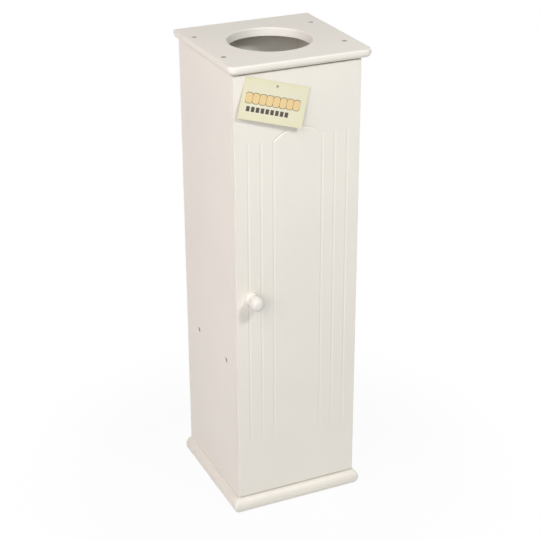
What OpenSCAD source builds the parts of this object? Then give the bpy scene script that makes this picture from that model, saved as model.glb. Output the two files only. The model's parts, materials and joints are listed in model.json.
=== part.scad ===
// Tall narrow bathroom cabinet for spare toilet rolls.
// Rolls drop in through the round hole in the top board and stack behind a hinged, grooved door.
// Frame: origin on the floor under the middle of the cabinet's body, +X to the right as seen from
// the door, +Y to the back, +Z up. All sizes are in millimetres.

/* [Cabinet body] */
// Width over the two side panels
body_w = 180; // [168:2:230]
// Depth of the side panels, front to back
body_d = 176; // [164:2:220]
// Height from the floor to the top of the top board
total_h = 664; // [600:4:800]
// Thickness of the side panels
panel_t = 9; // [9:1:12]
// Thickness of the back panel
back_t = 9; // [6:1:12]
// How far the back panel stands in from the rear edges
back_inset = 6; // [0:1:12]

/* [Top board] */
// Thickness of the top board
top_t = 12; // [12:1:18]
// How far the top board passes the left side panel
top_over_left = 7.5; // [6.5:0.5:16]
// How far the top board passes the right side panel, over the hinges
top_over_right = 14; // [8:0.5:20]
// How far the top board passes the face of the door
top_lip = 8; // [2:0.5:16]
// Radius of the top board's front corners, seen from above
top_corner_r = 10.5; // [9.5:0.5:14]
// Rounding of the top board's upper edge
top_edge_r = 2.5; // [1.5:0.5:3]
// Larger rounding of the top board's lower edge
top_under_r = 7.5; // [5:0.5:8]
// Radius of the round hole that the rolls drop through
roll_hole_r = 56.5; // [50:0.5:60]
// Rounding of the hole's upper rim
hole_rim_r = 1; // [0.5:0.25:2]

/* [Base board] */
// Thickness of the base board
base_t = 25; // [20:1:30]
// How far the base board passes each side panel
base_over = 8.8; // [4:0.4:14]
// How far the base board passes the face of the door
base_lip = 6; // [1:0.5:14]

/* [Shelf] */
// Thickness of the fixed shelf
shelf_t = 9; // [9:1:12]
// Height of the middle of the shelf above the floor
shelf_mid_z = 230; // [180:5:290]

/* [Door] */
// Thickness of the door
door_t = 10; // [10:1:14]
// Gap between the body's front edges and the back of the closed door
door_gap = 0.8; // [0.6:0.1:1.2]
// Gap above and below the door
door_end_gap = 2; // [1:0.5:4]
// Rounding of the door's front edges
door_edge_r = 2; // [1:0.5:3]
// Distance of the two inner grooves from the middle of the door
groove_first_x = 35; // [28:1:38]
// Distance from one groove to the next
groove_pitch = 18.2; // [12:0.2:20]
// Width of a groove at the face
groove_w = 3.6; // [2:0.2:5]
// Depth of a groove
groove_deep = 1.2; // [0.8:0.2:2.4]
// Distance from the door's lower edge to the lower ends of the grooves
groove_low = 86; // [40:2:120]
// Distance from the door's upper edge to the upper ends of the straight grooves
groove_high = 93; // [80:1:120]
// Rise of the arched groove above the ends of the straight ones
arch_rise = 13.6; // [8:0.4:20]

/* [Knob] */
// Distance from the door's left edge to the knob's axis
knob_in = 22; // [18:0.5:26]
// Radius of the knob's ball
knob_ball_r = 10.5; // [9:0.5:13]
// Distance from the door's face to the middle of the ball
knob_reach = 17; // [15:0.5:22]
// Radius of the foot of the knob
knob_foot_r = 10; // [8:0.5:12]
// Radius of the knob's neck
knob_neck_r = 8; // [5:0.5:8.5]

/* [Hinges] */
// Length of each hinge
hinge_len = 40; // [32:1:56]
// Thickness of a hinge leaf
leaf_t = 1.2; // [1:0.1:1.4]
// Outer radius of the hinge knuckles
knuckle_r = 2.3; // [2.2:0.1:2.8]
// Radius of the hinge pins
hinge_pin_r = 1.1; // [0.9:0.1:1.3]
// Radial clearance of the hinge pins in the knuckles
pin_clear = 0.05; // [0.02:0.01:0.08]
// Distance from the door's ends to the middle of each hinge
hinge_in = 70; // [50:5:110]
// Gap between neighbouring knuckles, and between the two closed leaves
hinge_play = 0.3; // [0.3:0.05:0.4]

/* [Screws] */
// Head radius of the construction screws
screw_head_r = 3.6; // [3:0.1:3.8]
// Shank radius of the construction screws
screw_r = 1.7; // [1.4:0.1:1.9]
// How deep the screw heads are sunk below the surface
screw_sink = 1; // [0.5:0.5:3]
// Length of the construction screws
screw_len = 34; // [28:1:40]
// Distance from the body's front edge to the first screw of each pair
screw_front = 30; // [22:1:40]
// Distance between the two screws of each pair
screw_spread = 100; // [60:2:110]
// Radial clearance of the screws in their holes
screw_clear = 0.1; // [0.05:0.05:0.2]

/* [Magnetic catch] */
// Height of the middle of the catch above the floor
catch_z = 430; // [400:5:520]
// Length of the catch
catch_len = 44; // [40:1:50]
// Depth of the catch, front to back
catch_deep = 13; // [12:1:16]
// Width of the catch, side to side
catch_wide = 12; // [11:1:15]
// Gap between the catch's pole plates and the strike plate
catch_gap = 0.3; // [0.2:0.1:0.6]

/* [Hang tag] */
// Width of the blank card
tag_w = 92.5; // [70:0.5:96]
// Height of the blank card
tag_h = 53.5; // [40:0.5:56]
// Thickness of the card
tag_t = 0.6; // [0.4:0.1:1]
// Turn of the card, clockwise as seen from the front
tag_turn = 16.8; // [0:0.2:18]
// Lean of the card's lower edge away from the door
tag_lean = 4.8; // [2:0.2:6]

/* [Hidden] */
$fn = 64;
// Overlap used only inside cuts, so that no thin skin is left
cut = 1;
inner_w = body_w - 2 * panel_t;
// Degrees by which the arched groove runs into the straight ones
arch_run_on = 1;
front_y = -body_d / 2;
rear_y = body_d / 2;
body_top_z = total_h - top_t;
panel_h = body_top_z - base_t;
side_mid_x = (body_w - panel_t) / 2;
back_face_y = rear_y - back_inset - back_t;
shelf_d = back_face_y - front_y;

door_w = body_w;
door_back_y = front_y - door_gap;
door_face_y = door_back_y - door_t;
door_low_z = base_t + door_end_gap;
door_high_z = body_top_z - door_end_gap;
door_h = door_high_z - door_low_z;
door_mid_z = (door_low_z + door_high_z) / 2;

top_front_y = door_face_y - top_lip;
top_left_x = -body_w / 2 - top_over_left;
top_right_x = body_w / 2 + top_over_right;
roll_hole_y = (top_front_y + rear_y) / 2;

base_front_y = door_face_y - base_lip;
base_side_x = body_w / 2 + base_over;

screw_hole_r = screw_r + screw_clear;
screw_sink_play = 0.4;
screw_sink_r = screw_head_r + screw_sink_play;
screw_head_h = screw_head_r - screw_r;
screw_tip_r = 0.2;
// Length and width of a cross recess's arms, as shares of the head's radius
recess_arm = 1;
recess_slot = 0.25;
// Depth of the middle of the recess's cut, as a share of the head's height
recess_mid = 0.1;
screw_ys = [front_y + screw_front, front_y + screw_front + screw_spread];
base_screw_grip = 12;
base_screw_sink = base_t - base_screw_grip;

knob_x = -door_w / 2 + knob_in;
knob_screw_r = 2;
knob_screw_head_r = 4;
knob_screw_head_h = 2.4;
knob_screw_in = 12;
knob_foot_t = 2.5;
knob_tip_flat = 0.8;

seam_y = front_y - door_gap / 2;
leaf_off = hinge_play / 2;
leaf_deep = leaf_off + leaf_t - door_gap / 2;
hinge_x = body_w / 2 + knuckle_r + hinge_play;
leaf_edge_in = 1;
leaf_w = panel_t - leaf_edge_in;
leaf_fit = 0.15;
// Share of the hinge's length taken by the middle knuckle
knuckle_mid_share = 0.38;
knuckle_mid_len = hinge_len * knuckle_mid_share;
knuckle_end_len = (hinge_len - knuckle_mid_len) / 2 - hinge_play;
pin_head_lap = 0.6;
pin_head_r = hinge_pin_r + pin_head_lap;
pin_head_t = 0.8;
hinge_zs = [door_low_z + hinge_in, door_high_z - hinge_in];
small_screw_r = 1;
small_head_r = 2;
small_screw_len = 8;
// Distance of each leaf screw from the hinge's middle, as a share of its length
leaf_screw_share = 0.3;
hinge_screw_dz = hinge_len * leaf_screw_share;

catch_x = -inner_w / 2;
strike_t = 1;
strike_w = 10;
strike_short = 10;
strike_len = catch_len - strike_short;
strike_face_y = door_back_y + strike_t;
pole_tip_y = strike_face_y + catch_gap;
pole_out = 1;
pole_t = 1.2;
pole_apart = 5;
pole_len = 20;
catch_front_y = pole_tip_y + pole_out;
pole_pocket = 8;
pole_wall = 2;
catch_slot_r = 1.6;
catch_slot_travel = 1;
catch_screw_in = 5;
catch_screw_dz = catch_len / 2 - catch_screw_in;
catch_screw_len = 19;
catch_head_r = 3;
catch_head_t = 1.6;
catch_screw_r = 1.4;

tag_mid_x = -36;
tag_below = 40;
tag_top_gap = 0.6;
tag_hole_r = 1.4;
tag_hole_in = 6;
tag_pad_w = 16;
tag_pad_low = 4;
tag_pad_high = 16;

painted = [0.93, 0.92, 0.90];
steel = [0.72, 0.72, 0.74];
dark_steel = [0.32, 0.30, 0.28];
plastic = [0.95, 0.95, 0.94];
card = [0.96, 0.92, 0.70];
foam = [0.85, 0.85, 0.83];

// A box from its two opposite corners.
module block(low, high) {
    translate(low)
        cube(high - low);
}

// A cylinder along Z between two heights.
module rod(r, low_z, high_z) {
    translate([0, 0, low_z])
        cylinder(r = r, h = high_z - low_z);
}

// Section of a nosed edge, from zero out to the nose: small rounding above and a large one below.
module nose_section(thick, edge_r, under_r) {
    translate([0, under_r])
        square([under_r, thick - under_r - edge_r]);
    translate([0, thick - edge_r])
        square([under_r - edge_r, edge_r]);
    translate([under_r - edge_r, thick - edge_r])
        circle(r = edge_r);
    intersection() {
        translate([0, under_r])
            circle(r = under_r);
        square(under_r);
    }
}

// A board with nosed edges at the left, right and front and a square back edge.
// Its front corners are rounded in plan.
module nosed_board(left_x, right_x, front, back, thick, corner_r, edge_r, under_r) {
    linear_extrude(thick) {
        translate([left_x + under_r, front + corner_r])
            square([right_x - left_x - 2 * under_r, back - front - corner_r]);
        translate([left_x + corner_r, front + under_r])
            square([right_x - left_x - 2 * corner_r, corner_r]);
        for (x = [left_x + corner_r, right_x - corner_r])
            translate([x, front + corner_r])
                circle(r = corner_r - under_r);
    }
    translate([left_x + under_r, front + corner_r, 0])
        rotate([90, 0, 180])
            linear_extrude(back - front - corner_r)
                nose_section(thick, edge_r, under_r);
    translate([right_x - under_r, back, 0])
        rotate([90, 0, 0])
            linear_extrude(back - front - corner_r)
                nose_section(thick, edge_r, under_r);
    translate([right_x - corner_r, front + under_r, 0])
        rotate([90, 0, -90])
            linear_extrude(right_x - left_x - 2 * corner_r)
                nose_section(thick, edge_r, under_r);
    for (side = [0, 1])
        translate([side == 0 ? left_x + corner_r : right_x - corner_r, front + corner_r, 0])
            rotate([0, 0, 180 + 90 * side])
                rotate_extrude(angle = 90)
                    translate([corner_r - under_r, 0])
                        nose_section(thick, edge_r, under_r);
}

// Two-dimensional bar with half-round ends of its own thickness.
module round_ended_bar(left_x, right_x, thick) {
    translate([left_x + thick / 2, 0])
        square([right_x - left_x - thick, thick]);
    for (x = [left_x + thick / 2, right_x - thick / 2])
        translate([x, thick / 2])
            circle(d = thick);
}

// Two-dimensional bar with only its first end half-round.
module one_round_bar(round_x, square_x, thick) {
    translate([round_x + thick / 2, 0])
        square([square_x - round_x - thick / 2, thick]);
    translate([round_x + thick / 2, thick / 2])
        circle(d = thick);
}

// Two-dimensional bar whose two front corners are rounded; its front is at zero.
module soft_front_bar(length, thick, r) {
    translate([0, r])
        square([length, thick - r]);
    translate([r, 0])
        square([length - 2 * r, thick]);
    for (x = [r, length - r])
        translate([x, r])
            circle(r = r);
}

// Cut for a cross recess in a screw head, centred at a height on the screw's axis.
module cross_recess(head_r, deep, z) {
    for (turn = [0, 90])
        rotate([0, 0, turn])
            translate([0, 0, z])
                cube([head_r * recess_arm, head_r * recess_slot, deep], center = true);
}

// Wood screw along -Z with its flat head face at zero, a countersunk head and a cross recess.
module countersunk_screw(head_r, shank_r, length) {
    head_h = head_r - shank_r;
    difference() {
        rotate_extrude()
            polygon([[0, -length],
                [screw_tip_r, -length],
                [shank_r, -length + 2 * shank_r],
                [shank_r, -head_h],
                [head_r, 0],
                [0, 0]]);
        cross_recess(head_r, head_h, -head_h * recess_mid);
    }
}

// Cut for a sunk countersunk screw along -Z from a face at zero.
module sunk_screw_hole(sink, length) {
    rod(screw_sink_r, -sink, cut);
    translate([0, 0, -sink - screw_head_h])
        cylinder(r1 = screw_hole_r, r2 = screw_head_r + screw_clear, h = screw_head_h);
    rod(screw_hole_r, -sink - length - screw_clear, -sink);
}

// Places its child at each of the four screws in the body's top or base face, at a given height.
module at_end_screws(z) {
    for (x = [-side_mid_x, side_mid_x])
        for (y = screw_ys)
            translate([x, y, z])
                children();
}

// Places its child at the two shelf screws of one side, pointing into the cabinet.
module at_shelf_screws(side) {
    for (y = screw_ys)
        translate([side * body_w / 2, y, shelf_mid_z])
            rotate([0, side * 90, 0])
                children();
}

// Places its child at each hinge's centre on the hinge axis.
module at_hinge(z) {
    translate([hinge_x, seam_y, z])
        children();
}

// Places its child at the two leaf screws of a hinge; facing 1 is the body's leaf, -1 the door's.
// The child's -Z points into the wood.
module at_leaf_screws(z, facing) {
    for (dz = [-hinge_screw_dz, hinge_screw_dz])
        translate([side_mid_x, seam_y + facing * leaf_off, z + dz])
            rotate([facing * 90, 0, 0])
                children();
}

// Shallow housing for a hinge leaf, as a cut; facing as above.
module leaf_housing(z, facing) {
    far_x = side_mid_x - leaf_w / 2 - leaf_fit;
    depth_y = seam_y + facing * (leaf_off + leaf_t);
    low_y = min(depth_y, seam_y);
    high_y = max(depth_y, seam_y);
    block([far_x, low_y, z - hinge_len / 2 - leaf_fit],
        [body_w / 2 + cut, high_y, z + hinge_len / 2 + leaf_fit]);
}

// One hinge leaf about the hinge's centre. The body's leaf carries the two end knuckles and the
// door's leaf carries the middle one.
module hinge_leaf(facing, z) {
    inner_x = side_mid_x - leaf_w / 2 - hinge_x;
    outer_x = body_w / 2 - hinge_x;
    near_y = facing > 0 ? leaf_off : -leaf_off - leaf_t;
    half = hinge_len / 2;
    spans = facing > 0
        ? [[-half, -half + knuckle_end_len], [half - knuckle_end_len, half]]
        : [[-knuckle_mid_len / 2, knuckle_mid_len / 2]];
    difference() {
        at_hinge(z)
            difference() {
                union() {
                    block([inner_x, near_y, -half], [outer_x, near_y + leaf_t, half]);
                    for (span = spans) {
                        block([outer_x - cut, near_y, span[0]], [0, near_y + leaf_t, span[1]]);
                        rod(knuckle_r, span[0], span[1]);
                    }
                }
                rod(hinge_pin_r + pin_clear, -half - cut, half + cut);
            }
        at_leaf_screws(z, facing) {
            rod(small_screw_r + screw_clear, -leaf_t - cut, cut);
            translate([0, 0, -small_head_r + small_screw_r])
                cylinder(r1 = small_screw_r + screw_clear, r2 = small_head_r + screw_clear,
                    h = small_head_r - small_screw_r);
        }
    }
}

// Headed hinge pin about the hinge's centre.
module hinge_pin(z) {
    half = hinge_len / 2;
    at_hinge(z) {
        rod(hinge_pin_r, -half, half);
        rod(pin_head_r, half, half + pin_head_t);
        rod(pin_head_r, -half - pin_head_t, -half);
    }
}

// Pilot hole for a hinge leaf screw, as a cut.
module leaf_screw_hole() {
    rod(small_screw_r + screw_clear, -small_screw_len - screw_clear, cut);
}

// One straight groove in the door's face, with the pointed ends that the cutter leaves.
module straight_groove(x, low_z, high_z) {
    spread = groove_w / 2 * (1 + cut / groove_deep);
    translate([x, door_face_y, 0]) {
        translate([0, 0, low_z])
            linear_extrude(high_z - low_z)
                polygon([[-spread, -cut], [spread, -cut], [0, groove_deep]]);
        for (z = [low_z, high_z])
            translate([0, -cut, z])
                rotate([-90, 0, 0])
                    cylinder(r1 = spread, r2 = 0, h = groove_deep + cut);
    }
}

// The arched groove that joins the two inner grooves.
module arched_groove(spring_z) {
    arch_r = (groove_first_x * groove_first_x + arch_rise * arch_rise) / (2 * arch_rise);
    half_angle = asin(groove_first_x / arch_r) + arch_run_on;
    spread = groove_w / 2 * (1 + cut / groove_deep);
    translate([0, door_face_y, spring_z + arch_rise - arch_r])
        rotate([90, 0, 0])
            rotate([0, 0, 90 - half_angle])
                rotate_extrude(angle = 2 * half_angle)
                    translate([arch_r, 0])
                        polygon([[-spread, cut], [spread, cut], [0, -groove_deep]]);
}

// Wooden top board with the round roll hole and four sunk screw holes.
module top_board() {
    color(painted)
        difference() {
            translate([0, 0, body_top_z])
                nosed_board(top_left_x, top_right_x, top_front_y, rear_y, top_t,
                    top_corner_r, top_edge_r, top_under_r);
            translate([0, roll_hole_y, 0])
                rod(roll_hole_r, body_top_z - cut, total_h + cut);
            translate([0, roll_hole_y, total_h - hole_rim_r])
                rotate_extrude()
                    difference() {
                        square([roll_hole_r + hole_rim_r, hole_rim_r + cut]);
                        translate([roll_hole_r + hole_rim_r, 0])
                            circle(r = hole_rim_r);
                    }
            at_end_screws(total_h)
                sunk_screw_hole(screw_sink, screw_len);
        }
}

// Thick base board with half-round edges, mitred at the front corners.
module base_board() {
    color(painted)
        difference() {
            intersection() {
                translate([0, rear_y, 0])
                    rotate([90, 0, 0])
                        linear_extrude(rear_y - base_front_y + cut)
                            round_ended_bar(-base_side_x, base_side_x, base_t);
                translate([-base_side_x - cut, 0, 0])
                    rotate([90, 0, 90])
                        linear_extrude(2 * base_side_x + 2 * cut)
                            one_round_bar(base_front_y, rear_y, base_t);
            }
            at_end_screws(0)
                rotate([180, 0, 0])
                    sunk_screw_hole(base_screw_sink, screw_len);
        }
}

// A side panel without its fittings; side is -1 for the left, 1 for the right.
module plain_side_panel(side) {
    difference() {
        block([side * side_mid_x - panel_t / 2, front_y, base_t],
            [side * side_mid_x + panel_t / 2, rear_y, body_top_z]);
        at_end_screws(total_h)
            sunk_screw_hole(screw_sink, screw_len);
        at_end_screws(0)
            rotate([180, 0, 0])
                sunk_screw_hole(base_screw_sink, screw_len);
        at_shelf_screws(side)
            sunk_screw_hole(screw_sink, screw_len);
    }
}

// Left side panel with the holes for the catch.
module left_side_panel() {
    color(painted)
        difference() {
            plain_side_panel(-1);
            at_catch_screws()
                rod(catch_screw_r + screw_clear, -catch_screw_len + catch_wide - pole_out, cut);
        }
}

// Right side panel with the hinge housings in its front edge.
module right_side_panel() {
    color(painted)
        difference() {
            plain_side_panel(1);
            for (z = hinge_zs) {
                leaf_housing(z, 1);
                at_leaf_screws(z, 1)
                    leaf_screw_hole();
            }
        }
}

// Back panel between the two sides.
module back_panel() {
    color(painted)
        block([-inner_w / 2, back_face_y, base_t],
            [inner_w / 2, back_face_y + back_t, body_top_z]);
}

// Fixed shelf between the two sides, against the back panel.
module shelf() {
    color(painted)
        difference() {
            block([-inner_w / 2, front_y, shelf_mid_z - shelf_t / 2],
                [inner_w / 2, back_face_y, shelf_mid_z + shelf_t / 2]);
            for (side = [-1, 1])
                at_shelf_screws(side)
                    sunk_screw_hole(screw_sink, screw_len);
        }
}

// Four screws that hold the top board.
module top_screws() {
    color(dark_steel)
        at_end_screws(total_h - screw_sink)
            countersunk_screw(screw_head_r, screw_r, screw_len);
}

// Four screws that hold the base board, from below.
module base_screws() {
    color(dark_steel)
        at_end_screws(base_screw_sink)
            rotate([180, 0, 0])
                countersunk_screw(screw_head_r, screw_r, screw_len);
}

// Two screws on each side that hold the shelf.
module shelf_screws() {
    color(dark_steel)
        for (side = [-1, 1])
            at_shelf_screws(side)
                translate([0, 0, -screw_sink])
                    countersunk_screw(screw_head_r, screw_r, screw_len);
}

module upper_frame_leaf() {
    color(steel)
        hinge_leaf(1, hinge_zs[1]);
}

module lower_frame_leaf() {
    color(steel)
        hinge_leaf(1, hinge_zs[0]);
}

module upper_door_leaf() {
    color(steel)
        hinge_leaf(-1, hinge_zs[1]);
}

module lower_door_leaf() {
    color(steel)
        hinge_leaf(-1, hinge_zs[0]);
}

module upper_hinge_pin() {
    color(steel)
        hinge_pin(hinge_zs[1]);
}

module lower_hinge_pin() {
    color(steel)
        hinge_pin(hinge_zs[0]);
}

// Screws of the two leaves on the body.
module frame_leaf_screws() {
    color(steel)
        for (z = hinge_zs)
            at_leaf_screws(z, 1)
                countersunk_screw(small_head_r, small_screw_r, small_screw_len);
}

// Screws of the two leaves on the door.
module door_leaf_screws() {
    color(steel)
        for (z = hinge_zs)
            at_leaf_screws(z, -1)
                countersunk_screw(small_head_r, small_screw_r, small_screw_len);
}

// Places its child at the catch's two screws, on the inner face of the catch.
// The child's -Z points into the left side panel.
module at_catch_screws() {
    for (dz = [-catch_screw_dz, catch_screw_dz])
        translate([catch_x + catch_wide - pole_out, catch_front_y + catch_deep / 2, catch_z + dz])
            rotate([0, 90, 0])
                children();
}

// Plastic body of the magnetic catch, with two slotted ears and two pockets for the poles.
module catch_body() {
    ear_t = catch_wide - pole_out;
    half = catch_len / 2;
    mid_half = pole_len / 2 + pole_wall;
    color(plastic)
        difference() {
            union() {
                block([catch_x, catch_front_y, catch_z - half],
                    [catch_x + ear_t, catch_front_y + catch_deep, catch_z + half]);
                block([catch_x, catch_front_y, catch_z - mid_half],
                    [catch_x + catch_wide, catch_front_y + catch_deep, catch_z + mid_half]);
            }
            for (s = [-1, 1])
                translate([catch_x + catch_wide / 2 + s * pole_apart / 2, 0, catch_z])
                    block([-pole_t / 2, catch_front_y - cut, -pole_len / 2],
                        [pole_t / 2, catch_front_y + pole_pocket, pole_len / 2]);
            at_catch_screws() {
                for (dy = [-catch_slot_travel, catch_slot_travel])
                    translate([0, dy, 0])
                        rod(catch_slot_r, -ear_t - cut, cut);
                block([-catch_slot_r, -catch_slot_travel, -ear_t - cut],
                    [catch_slot_r, catch_slot_travel, cut]);
            }
        }
}

// The two steel pole plates of the catch.
module catch_poles() {
    color(steel)
        for (s = [-1, 1])
            translate([catch_x + catch_wide / 2 + s * pole_apart / 2, 0, catch_z])
                block([-pole_t / 2, pole_tip_y, -pole_len / 2],
                    [pole_t / 2, catch_front_y + pole_pocket, pole_len / 2]);
}

// Pan-headed screws that hold the catch to the left side panel.
module catch_screws() {
    color(steel)
        at_catch_screws()
            difference() {
                union() {
                    rod(catch_head_r, 0, catch_head_t);
                    rod(catch_screw_r, -catch_screw_len + catch_wide - pole_out, catch_head_t / 2);
                }
                cross_recess(catch_head_r, catch_head_t, catch_head_t);
            }
}

// Routed door: softened front edges, six straight grooves and one arched groove.
module door() {
    low_z = door_low_z + groove_low;
    high_z = door_high_z - groove_high;
    color(painted)
        difference() {
            intersection() {
                translate([-door_w / 2, door_face_y, door_low_z])
                    linear_extrude(door_h)
                        soft_front_bar(door_w, door_t, door_edge_r);
                translate([door_w / 2, door_face_y, door_low_z])
                    rotate([0, -90, 0])
                        linear_extrude(door_w)
                            soft_front_bar(door_h, door_t, door_edge_r);
            }
            for (side = [-1, 1])
                for (i = [0:2])
                    straight_groove(side * (groove_first_x + i * groove_pitch), low_z, high_z);
            arched_groove(high_z);
            at_knob()
                rod(knob_screw_r + screw_clear, -door_t - cut, cut);
            for (z = hinge_zs) {
                leaf_housing(z, -1);
                at_leaf_screws(z, -1)
                    leaf_screw_hole();
            }
            at_strike_screw()
                rod(small_screw_r + screw_clear, -small_screw_len - screw_clear, cut);
        }
}

// Places its child at the knob's foot on the door's face; the child's +Z points forwards.
module at_knob() {
    translate([knob_x, door_face_y, door_mid_z])
        rotate([90, 0, 0])
            children();
}

// Round turned knob with a foot, a hollowed neck and a ball.
module knob() {
    ball_low = knob_reach - knob_ball_r;
    hollow_r = (ball_low + knob_ball_r / 2 - knob_foot_t) / 2;
    color(painted)
        at_knob()
            difference() {
                rotate_extrude()
                    intersection() {
                        union() {
                            translate([0, knob_reach])
                                circle(r = knob_ball_r);
                            square([knob_foot_r, knob_foot_t]);
                            difference() {
                                square([knob_foot_r, knob_reach]);
                                translate([knob_neck_r + hollow_r, knob_foot_t + hollow_r])
                                    circle(r = hollow_r);
                                translate([knob_neck_r + hollow_r, knob_foot_t])
                                    square([knob_foot_r, knob_reach]);
                                translate([knob_neck_r, knob_foot_t + hollow_r])
                                    square([knob_foot_r, knob_reach]);
                            }
                        }
                        square([max(knob_ball_r, knob_foot_r),
                            knob_reach + knob_ball_r - knob_tip_flat]);
                    }
                rod(knob_screw_r + screw_clear, -cut, knob_screw_in + screw_clear);
            }
}

// Screw through the door into the knob.
module knob_screw() {
    back_z = -door_t;
    color(steel)
        at_knob()
            difference() {
                union() {
                    rod(knob_screw_r, back_z, knob_screw_in);
                    rod(knob_screw_head_r, back_z - knob_screw_head_h, back_z);
                }
                cross_recess(knob_screw_head_r, knob_screw_head_h, back_z - knob_screw_head_h);
            }
}

// Places its child at the strike plate's screw; the child's -Z points into the door.
module at_strike_screw() {
    translate([catch_x + catch_wide / 2, strike_face_y, catch_z])
        rotate([-90, 0, 0])
            children();
}

// Steel plate on the back of the door that the catch holds.
module strike_plate() {
    mid_x = catch_x + catch_wide / 2;
    color(steel)
        difference() {
            block([mid_x - strike_w / 2, door_back_y, catch_z - strike_len / 2],
                [mid_x + strike_w / 2, strike_face_y, catch_z + strike_len / 2]);
            at_strike_screw() {
                rod(small_screw_r + screw_clear, -strike_t - cut, cut);
                translate([0, 0, -small_head_r + small_screw_r])
                    cylinder(r1 = small_screw_r + screw_clear, r2 = small_head_r + screw_clear,
                        h = small_head_r - small_screw_r);
            }
        }
}

module strike_screw() {
    color(steel)
        at_strike_screw()
            countersunk_screw(small_head_r, small_screw_r, small_screw_len);
}

// Places its child in the card's frame: middle of the card in plan, on the door's face.
module at_tag() {
    translate([tag_mid_x, door_face_y, door_high_z - tag_below])
        rotate([0, tag_turn, 0])
            children();
}

// Distance from the door's face to the card's back at a height above the card's middle.
function tag_stand(v) = tag_top_gap + (tag_h / 2 - v) * tan(tag_lean);

// Blank card, held at its upper part and leaning away from the door at its foot.
module hang_tag() {
    color(card)
        at_tag()
            difference() {
                rotate([90, 0, 90])
                    linear_extrude(tag_w, center = true)
                        polygon([[-tag_stand(tag_h / 2), tag_h / 2],
                            [-tag_stand(tag_h / 2) - tag_t, tag_h / 2],
                            [-tag_stand(-tag_h / 2) - tag_t, -tag_h / 2],
                            [-tag_stand(-tag_h / 2), -tag_h / 2]]);
                translate([0, 0, tag_h / 2 - tag_hole_in])
                    rotate([90, 0, 0])
                        rod(tag_hole_r, -cut, tag_stand(0) + cut);
            }
}

// Foam pad between the door and the card.
module tag_pad() {
    color(foam)
        at_tag()
            rotate([90, 0, 90])
                linear_extrude(tag_pad_w, center = true)
                    polygon([[0, tag_pad_low],
                        [-tag_stand(tag_pad_low), tag_pad_low],
                        [-tag_stand(tag_pad_high), tag_pad_high],
                        [0, tag_pad_high]]);
}

top_board();
base_board();
left_side_panel();
right_side_panel();
back_panel();
shelf();
top_screws();
base_screws();
shelf_screws();
upper_frame_leaf();
upper_hinge_pin();
lower_frame_leaf();
lower_hinge_pin();
frame_leaf_screws();
catch_body();
catch_poles();
catch_screws();
door();
knob();
knob_screw();
upper_door_leaf();
lower_door_leaf();
door_leaf_screws();
strike_plate();
strike_screw();
hang_tag();
tag_pad();
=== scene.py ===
"""Looks for a tall, narrow bathroom cabinet that stores spare toilet rolls.

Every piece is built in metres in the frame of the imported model. The painted boards, the door with
its routed grooves, the turned knob, the fittings and the card each have an operator of their own.
"""

import json
import math

import bmesh
import bpy
from bpy.props import FloatProperty, FloatVectorProperty, IntProperty, PointerProperty
from mathutils import Matrix, Vector


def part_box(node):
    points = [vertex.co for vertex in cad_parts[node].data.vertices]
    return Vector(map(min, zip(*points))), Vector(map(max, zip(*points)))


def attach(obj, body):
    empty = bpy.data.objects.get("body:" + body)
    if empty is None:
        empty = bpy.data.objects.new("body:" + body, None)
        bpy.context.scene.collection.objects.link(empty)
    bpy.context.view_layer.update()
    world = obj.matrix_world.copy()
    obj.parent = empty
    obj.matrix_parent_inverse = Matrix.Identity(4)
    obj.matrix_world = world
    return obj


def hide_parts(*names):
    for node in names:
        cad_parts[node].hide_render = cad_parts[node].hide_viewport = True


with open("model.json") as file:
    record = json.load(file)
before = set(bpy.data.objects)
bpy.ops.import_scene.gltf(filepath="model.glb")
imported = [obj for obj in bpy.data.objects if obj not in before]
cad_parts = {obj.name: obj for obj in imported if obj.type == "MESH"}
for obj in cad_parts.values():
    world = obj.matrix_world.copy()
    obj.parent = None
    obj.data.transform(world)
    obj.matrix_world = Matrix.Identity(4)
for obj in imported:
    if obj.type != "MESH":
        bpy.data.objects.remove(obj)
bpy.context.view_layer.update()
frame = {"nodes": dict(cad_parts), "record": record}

bl_info = {
    "name": "Toilet roll cabinet",
    "version": (1, 0, 0),
    "blender": (4, 5, 0),
    "location": "3D View > Sidebar > Cabinet",
    "description": "Builds the painted boards, grooved door, knob, hinges, screws and card",
    "category": "Object",
}

MM = 0.001
# Edges that turn by more than this stay sharp, on most pieces and on the knob
SHARP_ANGLE = math.radians(28)
KNOB_SHARP_ANGLE = math.radians(50)
# How far a cutter reaches past the face that it opens
CLEAR = 1 * MM
# Points closer than NEAR count as one, and vertices closer than WELD are merged
NEAR = 1e-6
WELD = 1e-7
# Radius of the holes for the screws' shanks, and easing of the small turned edges
SHANK_HOLE = 1.8 * MM
EASE = 0.1 * MM
# Sides of the round shapes
SCREW_SIDES = 40
KNOB_SIDES = 96
HOLE_SIDES = 160
SMALL_SIDES = 32
# How deep a hinge leaf is let into the wood, and the play round it
LEAF_SUNK = 0.95 * MM
LEAF_PLAY = 0.15 * MM
# What all colour settings share
COLOUR = {"subtype": "COLOR", "size": 3, "min": 0.0, "max": 1.0}


# ---------------------------------------------------------------- shader maths


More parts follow.
